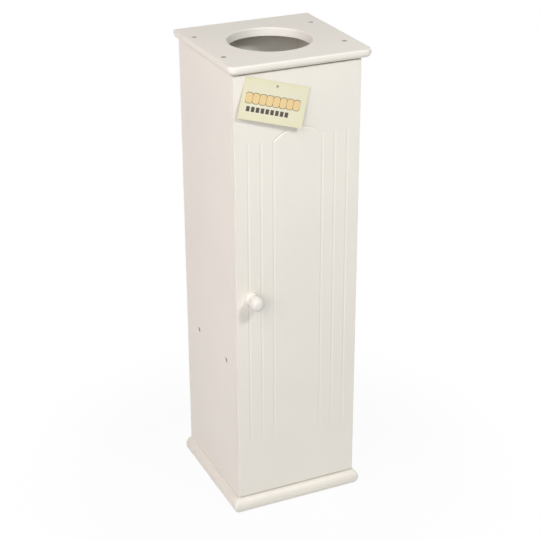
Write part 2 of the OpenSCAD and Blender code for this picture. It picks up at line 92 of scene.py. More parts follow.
class Value:
    """A shader value. Arithmetic on it adds Math nodes to its material."""

    def __init__(self, finish, socket):
        self.finish = finish
        self.socket = socket

    def _maths(self, operation, first, second):
        return self.finish.node("ShaderNodeMath", {"operation": operation}, {0: first, 1: second})

    def __add__(self, other):
        return self._maths("ADD", self, other)

    def __radd__(self, other):
        return self._maths("ADD", other, self)

    def __sub__(self, other):
        return self._maths("SUBTRACT", self, other)

    def __rsub__(self, other):
        return self._maths("SUBTRACT", other, self)

    def __mul__(self, other):
        return self._maths("MULTIPLY", self, other)

    def __rmul__(self, other):
        return self._maths("MULTIPLY", other, self)

    def __truediv__(self, other):
        return self._maths("DIVIDE", self, other)

    def least(self, other):
        """The smaller of this value and another."""
        return self._maths("MINIMUM", self, other)

    def most(self, other):
        """The larger of this value and another."""
        return self._maths("MAXIMUM", self, other)

    def size(self):
        """The value without its sign."""
        return self._maths("ABSOLUTE", self, 0.0)

    def fourth(self):
        """The fourth power of the value."""
        square = self * self
        return square * square

    def remainder(self, step):
        """What is left after whole steps, always from 0 up to the step."""
        return self._maths("FLOORED_MODULO", self, step)

    def ramp(self, low, high):
        """0 below low, 1 above high and a smooth rise between them."""
        settings = {"interpolation_type": "SMOOTHSTEP"}
        inputs = {"Value": self, "From Min": low, "From Max": high}
        return self.finish.node("ShaderNodeMapRange", settings, inputs)


class Finish:
    """The nodes of one material, or of the surround where that is given."""

    def __init__(self, name, surround=None):
        self.material = surround or bpy.data.materials.new(name)
        self.material.use_nodes = True
        self.tree = self.material.node_tree
        self.tree.nodes.clear()

    def node(self, kind, settings=None, inputs=None, output=0):
        """Adds a node, sets it up, fills its sockets and gives one of its outputs."""
        made = self.tree.nodes.new(kind)
        for key, value in (settings or {}).items():
            setattr(made, key, value)
        for key, value in (inputs or {}).items():
            if isinstance(value, Value):
                self.tree.links.new(value.socket, made.inputs[key])
            else:
                made.inputs[key].default_value = value
        return Value(self, made.outputs[output]) if len(made.outputs) else made

    def place(self, scale=(1, 1, 1), turn=(0, 0, 0)):
        """Object coordinates, stretched and turned."""
        where = self.node("ShaderNodeTexCoord", output=3)
        return self.node("ShaderNodeMapping", {}, {"Vector": where, "Scale": scale, "Rotation": turn})

    def noise(self, scale, detail=3.0, roughness=0.5, place=None):
        """Fractal noise from 0 to 1 on object coordinates."""
        inputs = {"Scale": scale, "Detail": detail, "Roughness": roughness}
        return self.node("ShaderNodeTexNoise", {}, {"Vector": place or self.place(), **inputs})

    def blend(self, amount, first, second):
        """Mixes two colours."""
        inputs = {0: amount, 6: opaque(first), 7: opaque(second)}
        return self.node("ShaderNodeMix", {"data_type": "RGBA"}, inputs, output=2)

    def bump(self, height, strength, distance, normal=None):
        """A bump of the surface, over an earlier one where given."""
        inputs = {"Height": height, "Strength": strength, "Distance": distance}
        if normal is not None:
            inputs["Normal"] = normal
        return self.node("ShaderNodeBump", {}, inputs)

    def surface(self, colour, roughness, normal=None, **constants):
        """Ends the material in a Principled shader."""
        inputs = {"Base Color": opaque(colour), "Roughness": roughness}
        if normal is not None:
            inputs["Normal"] = normal
        inputs.update({key.replace("_", " "): value for key, value in constants.items()})
        shader = self.node("ShaderNodeBsdfPrincipled", {}, inputs)
        self.node("ShaderNodeOutputMaterial", {}, {"Surface": shader})
        return self.material


def opaque(colour):
    """A colour with full alpha, or a linked colour as it is."""
    return colour if isinstance(colour, Value) else (*tuple(colour)[:3], 1.0)


def direction(azimuth, height):
    """The direction of a place seen from the cabinet: degrees from its front and above level."""
    turn, rise = math.radians(azimuth), math.radians(height)
    return Vector((math.sin(turn) * math.cos(rise), -math.cos(turn) * math.cos(rise), math.sin(rise)))


def toned(colour, factor):
    """A colour made lighter or darker."""
    return tuple(channel * factor for channel in tuple(colour)[:3])


# ---------------------------------------------------------------- finishes


def painted_light_share(finish):
    """Where light is painted on the board paint: 1 on the faces inside the body and round the roll hole,
    and 0 on all other faces.
    """
    left_low, left_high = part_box("left_side_panel")
    low = (left_high.x, left_low.y + CLEAR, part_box("base_board")[1].z)
    right_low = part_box("right_side_panel")[0]
    high = (right_low.x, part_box("back_panel")[0].y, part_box("top_board")[1].z - CLEAR)
    fade_from, fade_to = 0.2 * MM, 0.6 * MM
    where = finish.node("ShaderNodeTexCoord", output=3)
    share = 1.0
    for axis in range(3):
        middle, half = (low[axis] + high[axis]) / 2, (high[axis] - low[axis]) / 2
        off = (finish.node("ShaderNodeSeparateXYZ", {}, {0: where}, output=axis) - middle).size()
        share = (1.0 - off.ramp(half + fade_from, half + fade_to)) * share
    return share


def board_paint(looks, name, grain):
    """Satin paint over board, with painted light inside the body and round the roll hole: a whiter colour
    there stands in for light and lifts the shade. grain is the stretch of the faint brush marks along X,
    Y and Z."""
    finish = Finish(name)
    cloud = finish.noise(7.0, 2.0)
    fleck = finish.noise(170.0, 4.0, 0.6)
    brushed = finish.noise(1.0, 3.0, 0.55, finish.place(scale=grain))
    peel = finish.noise(620.0, 2.0, 0.5)
    paint = looks.paint_colour
    tone = finish.blend(cloud.ramp(0.3, 0.7), toned(paint, 0.985), toned(paint, 1.01))
    tone = finish.blend(fleck.ramp(0.62, 0.8) * 0.25, tone, toned(paint, 0.95))
    # Painted light: a whiter colour inside the body and round the roll hole, where it lifts the shade
    painted_light_tone = finish.blend(cloud.ramp(0.3, 0.7), toned(looks.painted_light_colour, 0.985), looks.painted_light_colour)
    tone = finish.blend(painted_light_share(finish), tone, painted_light_tone)
    roughness = looks.paint_roughness + 0.10 * (brushed - 0.5) + 0.06 * (cloud - 0.5)
    normal = finish.bump(brushed, 0.35, 0.06 * MM)
    normal = finish.bump(peel, 0.25, 0.03 * MM, normal)
    return finish.surface(tone, roughness, normal, IOR=1.47)


def gloss_enamel(looks):
    """Hard white enamel of the turned knob: a soft base under a thin gloss."""
    finish = Finish("gloss_enamel")
    cloud = finish.noise(60.0, 2.0)
    tone = finish.blend(cloud, toned(looks.knob_colour, 0.985), toned(looks.knob_colour, 1.0))
    wave = finish.noise(140.0, 2.0, 0.5)
    normal = finish.bump(wave, 0.2, 0.03 * MM)
    roughness = 0.52 + 0.08 * cloud
    return finish.surface(tone, roughness, normal, IOR=1.46, Coat_Weight=0.12, Coat_Roughness=0.06)


def dark_steel():
    """Dulled steel of the sunk screws, with worn bright spots."""
    finish = Finish("dulled_steel")
    cloud = finish.noise(900.0, 3.0, 0.6)
    tone = finish.blend(cloud.ramp(0.35, 0.75), (0.26, 0.235, 0.205), (0.44, 0.40, 0.35))
    normal = finish.bump(cloud, 0.4, 0.05 * MM)
    return finish.surface(tone, 0.55 + 0.2 * cloud, normal, Metallic=0.25)


def zinc_plate():
    """Bright zinc plate with fine rolling marks."""
    finish = Finish("zinc_plate")
    cloud = finish.noise(120.0, 3.0)
    marks = finish.noise(1.0, 3.0, 0.6, finish.place(scale=(2600, 2600, 160)))
    tone = finish.blend(cloud, (0.50, 0.50, 0.52), (0.66, 0.66, 0.67))
    normal = finish.bump(marks, 0.3, 0.02 * MM)
    return finish.surface(tone, 0.26 + 0.16 * marks, normal, Metallic=1.0)


def moulded_plastic():
    """White moulded plastic of the catch."""
    finish = Finish("moulded_plastic")
    grain = finish.noise(1500.0, 2.0)
    cloud = finish.noise(90.0, 2.0)
    tone = finish.blend(cloud, (0.80, 0.80, 0.785), (0.84, 0.84, 0.825))
    return finish.surface(tone, 0.42 + 0.1 * grain, finish.bump(grain, 0.3, 0.03 * MM), IOR=1.49)


def pad_foam():
    """Soft closed-cell foam."""
    finish = Finish("pad_foam")
    inputs = {"Vector": finish.place(), "Scale": 1400.0}
    cells = finish.node("ShaderNodeTexVoronoi", {"feature": "F1"}, inputs)
    tone = finish.blend(cells, (0.62, 0.62, 0.60), (0.74, 0.74, 0.72))
    return finish.surface(tone, 0.9, finish.bump(cells, 0.8, 0.15 * MM))


def paper_surface(finish, tone):
    """Uncoated card: short fibres in the tone and in the surface."""
    fibres = finish.noise(1.0, 4.0, 0.6, finish.place(scale=(900, 900, 2600), turn=(0.0, 0.5, 0.0)))
    cross = finish.noise(1.0, 4.0, 0.6, finish.place(scale=(2600, 900, 900), turn=(0.0, -0.3, 0.0)))
    mixed = (fibres + cross) * 0.5
    tone = finish.blend(mixed.ramp(0.35, 0.65) * 0.10, tone, (0.93, 0.88, 0.70))
    return finish.surface(tone, 0.62 + 0.1 * mixed, finish.bump(mixed, 0.35, 0.04 * MM), IOR=1.45)


def plain_card(looks):
    """The card's back and cut edges."""
    finish = Finish("plain_card")
    cloud = finish.noise(35.0, 2.0)
    tone = finish.blend(cloud, toned(looks.card_colour, 0.96), looks.card_colour)
    return paper_surface(finish, tone)


def printed_card(sizes, looks):
    """The card's face: warmer towards its edges, with a scalloped band over a row of plain bars, and a
    dark ring of painted shade round its hole.
    """
    cells, bars = 8, 9
    # Shares of the card's width and height: the pitch, the middle across and the middle up
    cell_pitch, cells_across, cells_up = 0.106, 0.485, 0.52
    bar_pitch, bars_across, bars_up = 0.075, 0.4275, 0.26
    cell_half_height, blur = 7.2 * MM, 0.05 * MM
    finish = Finish("printed_card")
    where = finish.node("ShaderNodeUVMap", {"uv_map": "UVMap"})
    wide, tall = sizes.card_width, sizes.card_height
    across = finish.node("ShaderNodeSeparateXYZ", {}, {0: where}, output=0) * wide
    upright = finish.node("ShaderNodeSeparateXYZ", {}, {0: where}, output=1) * tall
    cloud = finish.noise(28.0, 3.0, 0.6)
    side = across.least(wide - across)
    end = upright.least(tall - upright)
    edge = side.least(end) + (cloud - 0.5) * (9 * MM)
    tone = finish.blend(edge.ramp(1 * MM, 12 * MM), looks.card_edge_colour, looks.card_colour)

    def row(count, pitch, middle):
        """A row of equal cells: 1 along the row, and the distance from the nearest cell's middle."""
        beside = across - wide * middle
        within = 1.0 - beside.size().ramp(count / 2 * pitch, count / 2 * pitch + blur)
        return within, ((beside + count % 2 * pitch * 0.5).remainder(pitch) - pitch * 0.5).size()

    pitch = wide * cell_pitch
    within, cell = row(cells, pitch, cells_across)
    height = (upright - tall * cells_up).size()
    scallop = (cell / (pitch * 0.53)).fourth() + (height / cell_half_height).fourth()
    mottle = finish.blend(finish.noise(260.0, 3.0, 0.6), looks.ink_warm, toned(looks.ink_warm, 1.12))
    tone = finish.blend((1.0 - scallop.ramp(0.94, 1.06)) * within, tone, looks.dark_ink_and_painted_shade)
    tone = finish.blend((1.0 - scallop.ramp(0.62, 0.74)) * within, tone, mottle)

    within, cell = row(bars, wide * bar_pitch, bars_across)
    height = (upright - tall * bars_up).size()
    bar = (1.0 - cell.ramp(2.35 * MM, 2.6 * MM)) * (1.0 - height.ramp(3.1 * MM, 3.35 * MM))
    tone = finish.blend(bar * within, tone, looks.dark_ink_and_painted_shade)

    # Painted shade: a dark ring round the card's hole, standing in for the shade seen through the hole
    beside = across - wide * 0.5
    over = upright - (tall - sizes.card_hole_inset)
    ring = beside * beside + over * over
    tone = finish.blend((1.0 - ring.ramp((1.3 * MM) ** 2, (1.8 * MM) ** 2)) * 0.9, tone, looks.dark_ink_and_painted_shade)
    return paper_surface(finish, tone)


# ---------------------------------------------------------------- mesh tools


def add_box(bm, low, high):
    """Adds a closed box between two corners and gives its vertices."""
    low, high = Vector(low), Vector(high)
    verts = bmesh.ops.create_cube(bm, size=1.0)["verts"]
    bmesh.ops.scale(bm, vec=high - low, verts=verts)
    bmesh.ops.translate(bm, vec=(low + high) / 2, verts=verts)
    return verts


def edges_on(bm, axis, value, skip=None):
    """Edges that lie wholly on the plane where one coordinate has a value, apart from those that
    also lie wholly on the skipped plane."""

    def flat(edge, plane):
        return all(abs(v.co[plane[0]] - plane[1]) < NEAR for v in edge.verts)

    found = [e for e in bm.edges if flat(e, (axis, value))]
    return [e for e in found if skip is None or not flat(e, skip)]


def round_edges(bm, edges, radius, segments):
    """Rounds edges to a radius."""
    bmesh.ops.bevel(
        bm,
        geom=edges,
        offset=radius,
        offset_type="OFFSET",
        affect="EDGES",
        segments=segments,
        profile=0.5,
        material=-1,
        clamp_overlap=False,
    )


def add_turned(bm, profile, segments, place, offset=0.0):
    """Adds a closed turned solid about Z from (radius, height) pairs, from its low end to its high
    end, then moves it to its place. The offset turns its corners, in steps."""
    radius, height = profile[0]
    made = bmesh.ops.create_circle(bm, cap_ends=True, radius=radius, segments=segments)
    everything = list(made["verts"])
    ring = list(made["verts"])
    bmesh.ops.translate(bm, vec=(0, 0, height), verts=ring)
    edges = list({e for v in ring for e in v.link_edges})
    for next_radius, next_height in profile[1:]:
        made = bmesh.ops.extrude_edge_only(bm, edges=edges)["geom"]
        ring = [g for g in made if isinstance(g, bmesh.types.BMVert)]
        edges = [g for g in made if isinstance(g, bmesh.types.BMEdge)]
        factor = next_radius / radius
        bmesh.ops.translate(bm, vec=(0, 0, next_height - height), verts=ring)
        bmesh.ops.scale(bm, vec=(factor, factor, 1), verts=ring)
        radius, height = next_radius, next_height
        everything += ring
    bmesh.ops.contextual_create(bm, geom=edges)
    turn = Matrix.Rotation(offset * math.tau / segments, 4, "Z")
    bmesh.ops.transform(bm, matrix=place @ turn, verts=everything)
    return everything


def close_up(bm):
    """Merges doubles and turns every face outwards."""
    bmesh.ops.remove_doubles(bm, verts=bm.verts, dist=WELD)
    bmesh.ops.recalc_face_normals(bm, faces=bm.faces)


def make_object(name, bm):
    """Puts a finished bmesh into a new scene object at the origin."""
    mesh = bpy.data.meshes.new(name)
    bm.to_mesh(mesh)
    bm.free()
    made = bpy.data.objects.new(name, mesh)
    bpy.context.scene.collection.objects.link(made)
    return made


def bake_modifiers(piece):
    """Replaces a piece's mesh by what its modifiers make of it."""
    seen = piece.evaluated_get(bpy.context.evaluated_depsgraph_get())
    mesh = bpy.data.meshes.new_from_object(seen)
    piece.modifiers.clear()
    old = piece.data
    piece.data = mesh
    bpy.data.meshes.remove(old)
    mesh.name = piece.name


def carve(piece, cutter_mesh):
    """Cuts a closed shape out of a piece."""
    close_up(cutter_mesh)
    cutter = make_object("cutter", cutter_mesh)
    cut = piece.modifiers.new("Cut", "BOOLEAN")
    cut.operation = "DIFFERENCE"
    cut.solver = "EXACT"
    cut.object = cutter
    bake_modifiers(piece)
    bpy.data.objects.remove(cutter)
    if len(piece.data.polygons) == 0:
        raise RuntimeError(f"nothing is left of {piece.name} after a cut")


def smooth(piece, angle=SHARP_ANGLE):
    """Smooth shading that keeps the edges sharp that turn by more than the angle."""
    for polygon in piece.data.polygons:
        polygon.use_smooth = True
    piece.data.set_sharp_from_angle(angle=angle)


def shade(piece):
    """Smooth shading that keeps sharp edges and leaves flat faces flat."""
    smooth(piece)
    even = piece.modifiers.new("Even shading", "WEIGHTED_NORMAL")
    even.keep_sharp = True
    even.weight = 100
    bake_modifiers(piece)


def dress(piece, materials, body, slot, *nodes):
    """Gives a piece its finishes, its body and the nodes that it stands for. The slot argument is not
    used.
    """
    piece.data.materials.clear()
    for material in materials:
        piece.data.materials.append(material)
    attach(piece, body)
    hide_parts(*nodes)


def paint_for(looks, grain):
    """The board paint with its brush marks along one axis and its painted light inside the body, made
    once for each axis.
    """
    name = f"satin_paint_and_painted_light_{grain}"
    found = bpy.data.materials.get(name)
    if found:
        return found
    along, across = 28, 700
    return board_paint(looks, name, tuple(along if axis == grain else across for axis in "xyz"))


def screw_recess(bm, wide, deep, place):
    """Cut for a sunk screw: a counterbore, a cone and a hole, from a face at Z 0 downwards."""
    cone = deep + wide - SHANK_HOLE
    pilot = 3 * MM
    rim = 0.08 * MM
    profile = [
        (SHANK_HOLE, -cone - pilot),
        (SHANK_HOLE, -cone),
        (wide - EASE, -deep - EASE),
        (wide, -deep),
        (wide, -rim),
        (wide + rim, 0.0),
        (wide + 2 * rim, rim),
    ]
    add_turned(bm, profile, SCREW_SIDES, place)


def board(name, low, high, softness, grain):
    """A board with softly broken edges along its grain. Its butted ends stay square."""
    bm = bmesh.new()
    add_box(bm, low, high)
    long_edges = [e for e in bm.edges if abs((e.verts[0].co - e.verts[1].co)["xyz".index(grain)]) > MM]
    round_edges(bm, long_edges, softness, 3)
    close_up(bm)
    return make_object(name, bm)


def house_leaf(bm, leaf, beside, front, rear):
    """Cut for a hinge leaf: a shallow housing that opens to the board's side."""
    low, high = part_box(leaf)
    corner = (low.x - LEAF_PLAY, front, low.z - LEAF_PLAY)
    add_box(bm, corner, (beside + CLEAR, rear, high.z + LEAF_PLAY))


def node_places(node, face_axis, face_value, turn):
    """Placing matrices at the middle of each separate solid of a node, on a given face."""
    mesh = frame["nodes"][node].data
    bm = bmesh.new()
    bm.from_mesh(mesh)
    bmesh.ops.remove_doubles(bm, verts=bm.verts, dist=NEAR)
    left = set(bm.verts)
    places = []
    while left:
        stack = [left.pop()]
        group = list(stack)
        while stack:
            for edge in stack.pop().link_edges:
                for vert in edge.verts:
                    if vert in left:
                        left.discard(vert)
                        stack.append(vert)
                        group.append(vert)
        low = Vector(min(v.co[i] for v in group) for i in range(3))
        high = Vector(max(v.co[i] for v in group) for i in range(3))
        spot = (low + high) / 2
        spot[face_axis] = face_value
        places.append(Matrix.Translation(spot) @ turn)
    bm.free()
    return places


UP = Matrix.Identity(4)
DOWN = Matrix.Rotation(math.pi, 4, "X")
LEFT = Matrix.Rotation(-math.pi / 2, 4, "Y")
RIGHT = Matrix.Rotation(math.pi / 2, 4, "Y")
FRONT = Matrix.Rotation(math.pi / 2, 4, "X")


# ---------------------------------------------------------------- settings


class CabinetSizes(bpy.types.PropertyGroup):
    """Sizes of the finish that the boards' own boxes don't give."""

    top_corner_radius: FloatProperty(
        name="Top corner radius",
        description="Radius of the top board's front corners, seen from above",
        default=10.5 * MM,
        unit="LENGTH",
    )
    top_edge_radius: FloatProperty(
        name="Top edge radius",
        description="Rounding of the top board's upper edge",
        default=2.5 * MM,
        unit="LENGTH",
    )
    top_under_radius: FloatProperty(
        name="Top underside radius",
        description="Rounding of the top board's lower edge",
        default=7.5 * MM,
        unit="LENGTH",
    )
    base_corner_radius: FloatProperty(
        name="Base corner radius",
        description="Easing of the base board's mitred corners, seen from above",
        default=2.5 * MM,
        unit="LENGTH",
    )
    hole_radius: FloatProperty(
        name="Roll hole radius",
        description="Radius of the round hole in the top board",
        default=56.5 * MM,
        unit="LENGTH",
    )
    hole_rim: FloatProperty(
        name="Hole rim",
        description="Rounding of the roll hole's upper rim",
        default=1.2 * MM,
        unit="LENGTH",
    )
    board_softness: FloatProperty(
        name="Board softness",
        description="Rounding of the panels' edges under the paint",
        default=0.6 * MM,
        unit="LENGTH",
    )
    door_softness: FloatProperty(
        name="Door softness",
        description="Rounding of the door's front edges",
        default=0.5 * MM,
        unit="LENGTH",
    )
    groove_first: FloatProperty(
        name="First groove",
        description="Distance of the two inner grooves from the door's middle",
        default=35.0 * MM,
        unit="LENGTH",
    )
    groove_pitch: FloatProperty(
        name="Groove pitch",
        description="Distance from one groove to the next",
        default=18.2 * MM,
        unit="LENGTH",
    )
    groove_low: FloatProperty(
        name="Groove foot",
        description="Distance from the door's lower edge to the grooves' lower ends",
        default=86.0 * MM,
        unit="LENGTH",
    )
    groove_high: FloatProperty(
        name="Groove head",
        description="Distance from the door's upper edge to the grooves' upper ends",
        default=93.0 * MM,
        unit="LENGTH",
    )
    arch_rise: FloatProperty(
        name="Arch rise",
        description="Rise of the arched groove",
        default=13.6 * MM,
        unit="LENGTH",
    )
    screw_recess_radius: FloatProperty(
        name="Screw recess radius",
        description="Radius of the recess over a sunk screw",
        default=4.0 * MM,
        unit="LENGTH",
    )
    screw_sink: FloatProperty(
        name="Screw sink",
        description="Depth of a sunk screw's head below the surface",
        default=1.0 * MM,
        unit="LENGTH",
    )
    top_recess_radius: FloatProperty(
        name="Top recess radius",
        description="Radius of the recess over a screw in the top board",
        default=3.75 * MM,
        unit="LENGTH",
    )
    top_screw_sink: FloatProperty(
        name="Top screw sink",
        description="Depth of a screw's head below the top board's face",
        default=0.3 * MM,
        unit="LENGTH",
    )
    knob_foot_radius: FloatProperty(
        name="Knob foot radius",
        description="Radius of the knob's foot on the door",
        default=10.0 * MM,
        unit="LENGTH",
    )
    knob_foot_thickness: FloatProperty(
        name="Knob foot thickness",
        description="Thickness of the knob's foot",
        default=2.5 * MM,
        unit="LENGTH",
    )
    knob_neck_radius: FloatProperty(
        name="Knob neck radius",
        description="Radius of the knob's hollowed neck",
        default=8.0 * MM,
        unit="LENGTH",
    )
    card_width: FloatProperty(
        name="Card width",
        description="Width of the card",
        default=92.5 * MM,
        unit="LENGTH",
    )
    card_height: FloatProperty(
        name="Card height",
        description="Height of the card",
        default=53.5 * MM,
        unit="LENGTH",
    )
    card_thickness: FloatProperty(
        name="Card thickness",
        description="Thickness of the card",
        default=0.5 * MM,
        unit="LENGTH",
    )
    card_turn: FloatProperty(
        name="Card turn",
        description="Turn of the card, clockwise as seen from the front",
        default=math.radians(16.8),
        subtype="ANGLE",
    )
    card_hole_inset: FloatProperty(
        name="Card hole inset",
        description="Distance from the card's upper edge to the middle of its hole",
        default=6 * MM,
        unit="LENGTH",
    )
    nose_segments: IntProperty(
        name="Nose segments",
        description="Segments of each quarter of a rounded board edge",
        default=12,
        min=4,
    )


class CabinetLooks(bpy.types.PropertyGroup):
    """Colours and gloss of the cabinet."""

    paint_colour: FloatVectorProperty(
        name="Paint",
        description="Warm white satin paint of the boards",
        default=(0.88, 0.832, 0.75),
        **COLOUR,
    )
    # Painted light: a whiter colour inside the body and round the roll hole, lifting the shade there
    painted_light_colour: FloatVectorProperty(
        name="Inner paint",
        description="Whiter paint inside the body and round the roll hole",
        default=(0.96, 0.925, 0.855),
        **COLOUR,
    )
    paint_roughness: FloatProperty(
        name="Paint roughness",
        description="Roughness of the satin paint",
        default=0.42,
        subtype="FACTOR",
        min=0.0,
        max=1.0,
    )
    knob_colour: FloatVectorProperty(
        name="Knob",
        description="Glossy white enamel of the knob",
        default=(0.79, 0.765, 0.705),
        **COLOUR,
    )
    card_colour: FloatVectorProperty(
        name="Card",
        description="Cream of the card's middle",
        default=(0.80, 0.763, 0.576),
        **COLOUR,
    )
    card_edge_colour: FloatVectorProperty(
        name="Card edge",
        description="Warmer cream towards the card's edges",
        default=(0.80, 0.755, 0.52),
        **COLOUR,
    )
    ink_warm: FloatVectorProperty(
        name="Warm ink",
        description="Pale orange ink of the card's band",
        default=(0.79, 0.57, 0.27),
        **COLOUR,
    )
    # Dark ink of the print, also the colour of the painted shade round the card's hole
    dark_ink_and_painted_shade: FloatVectorProperty(
        name="Dark ink",
        description="Dark ink of the card's outlines and bars",
        default=(0.05, 0.035, 0.03),
        **COLOUR,
    )


def chosen(context):
    """The two groups of settings as they stand."""
    return context.scene.cabinet_sizes, context.scene.cabinet_looks


# ---------------------------------------------------------------- boards


class CABINET_OT_top_board(bpy.types.Operator):
    """Builds the top board with its rounded noses, roll hole and screw recesses"""

    bl_idname = "cabinet.top_board"
    bl_label = "Top board"

    def execute(self, context):
        sizes, looks = chosen(context)
        low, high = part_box("top_board")
        bm = bmesh.new()
        add_box(bm, low, high)
        corners = [e for e in edges_on(bm, 1, low.y) if abs(e.verts[0].co.x - e.verts[1].co.x) < MM]
        round_edges(bm, corners, sizes.top_corner_radius, sizes.nose_segments)
        round_edges(bm, edges_on(bm, 2, high.z, (1, high.y)), sizes.top_edge_radius, sizes.nose_segments)
        round_edges(bm, edges_on(bm, 2, low.z, (1, high.y)), sizes.top_under_radius, sizes.nose_segments)
        rear_softness = 0.4 * MM
        round_edges(bm, edges_on(bm, 1, high.y), rear_softness, 2)
        close_up(bm)
        piece = make_object("top_board_painted", bm)
        cutter = bmesh.new()
        middle = Vector((0.0, (low.y + high.y) / 2, high.z))
        profile = self.hole_profile(sizes.hole_radius, sizes.hole_rim, high.z - low.z)
        add_turned(cutter, profile, HOLE_SIDES, Matrix.Translation(middle))
        for place in node_places("top_screws", 2, high.z, UP):
            screw_recess(cutter, sizes.top_recess_radius, sizes.top_screw_sink, place)
        carve(piece, cutter)
        shade(piece)
        dress(piece, [paint_for(looks, "x")], "cabinet", "painted_board", "top_board")
        return {"FINISHED"}

    def hole_profile(self, radius, rim, thick):
        """The roll hole's cutter from below to above, with a small lower and a larger upper rim."""
        under, under_steps, upper_steps = rim * 0.5, 4, 6
        profile = [(radius + rim, -thick - CLEAR), (radius + under, -thick)]
        for step in range(1, under_steps + 1):
            turn = math.radians(90 / under_steps * step)
            profile.append((radius + under * (1 - math.sin(turn)), -thick + under * (1 - math.cos(turn))))
        for step in range(upper_steps + 1):
            turn = math.radians(90 / upper_steps * step)
            profile.append((radius + rim * (1 - math.cos(turn)), -rim + rim * math.sin(turn)))
        profile.append((radius + rim + CLEAR, CLEAR))
        return profile


class CABINET_OT_base_board(bpy.types.Operator):
    """Builds the thick base board with its rounded, mitred edges"""

    bl_idname = "cabinet.base_board"
    bl_label = "Base board"

    def execute(self, context):
        sizes, looks = chosen(context)
        low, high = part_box("base_board")
        bm = bmesh.new()
        add_box(bm, low, high)
        flat = 0.03 * MM
        nose = (high.z - low.z) / 2 - flat
        rims = edges_on(bm, 2, low.z, (1, high.y)) + edges_on(bm, 2, high.z, (1, high.y))
        round_edges(bm, rims, nose, sizes.nose_segments)
        mitres = [e for e in bm.edges if all(self.on_mitre(v.co, low, high) for v in e.verts)]
        round_edges(bm, mitres, sizes.base_corner_radius, 4)
        rear_softness = 0.5 * MM
        round_edges(bm, edges_on(bm, 1, high.y), rear_softness, 2)
        close_up(bm)
        piece = make_object("base_board_painted", bm)
        cutter = bmesh.new()
        screws_low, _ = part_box("base_screws")
        wide, rim, pilot = sizes.screw_recess_radius, 0.3 * MM, 6 * MM
        sink = screws_low.z - low.z
        profile = [
            (SHANK_HOLE, -sink - pilot),
            (SHANK_HOLE, -sink - wide + SHANK_HOLE),
            (wide, -sink),
            (wide, -rim),
            (wide + rim, 0.0),
            (wide + 2 * rim, CLEAR),
        ]
        for place in node_places("base_screws", 2, low.z, DOWN):
            add_turned(cutter, profile, SCREW_SIDES, place)
        carve(piece, cutter)
        shade(piece)
        dress(piece, [paint_for(looks, "x")], "cabinet", "painted_board", "base_board")
        return {"FINISHED"}

    def on_mitre(self, spot, low, high):
        """Whether a point lies where the front nose meets a side nose."""
        beside = min(spot.x - low.x, high.x - spot.x)
        margin = 0.3 * MM
        inside = (high.z - low.z) / 2 - margin
        return abs(beside - (spot.y - low.y)) < NEAR and abs(spot.z - (low.z + high.z) / 2) < inside


class CABINET_OT_panels(bpy.types.Operator):
    """Builds the two side panels, the back panel and the shelf"""

    bl_idname = "cabinet.panels"
    bl_label = "Panels and shelf"

    def execute(self, context):
        sizes, looks = chosen(context)
        for side, node in ((-1, "left_side_panel"), (1, "right_side_panel")):
            low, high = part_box(node)
            piece = board(node + "_painted", low, high, sizes.board_softness, "z")
            cutter = bmesh.new()
            outer = low.x if side < 0 else high.x
            for place in node_places("shelf_screws", 0, outer, LEFT if side < 0 else RIGHT):
                if place.translation.x * side > 0:
                    screw_recess(cutter, sizes.screw_recess_radius, sizes.screw_sink, place)
            if side > 0:
                for leaf in ("upper_frame_leaf", "lower_frame_leaf"):
                    house_leaf(cutter, leaf, high.x, low.y - CLEAR, low.y + LEAF_SUNK)
            carve(piece, cutter)
            shade(piece)
            dress(piece, [paint_for(looks, "z")], "cabinet", "painted_board", node)
        for node, grain in (("back_panel", "z"), ("shelf", "x")):
            low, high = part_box(node)
            piece = board(node + "_painted", low, high, sizes.board_softness, grain)
            shade(piece)
            dress(piece, [paint_for(looks, grain)], "cabinet", "painted_board", node)
        return {"FINISHED"}


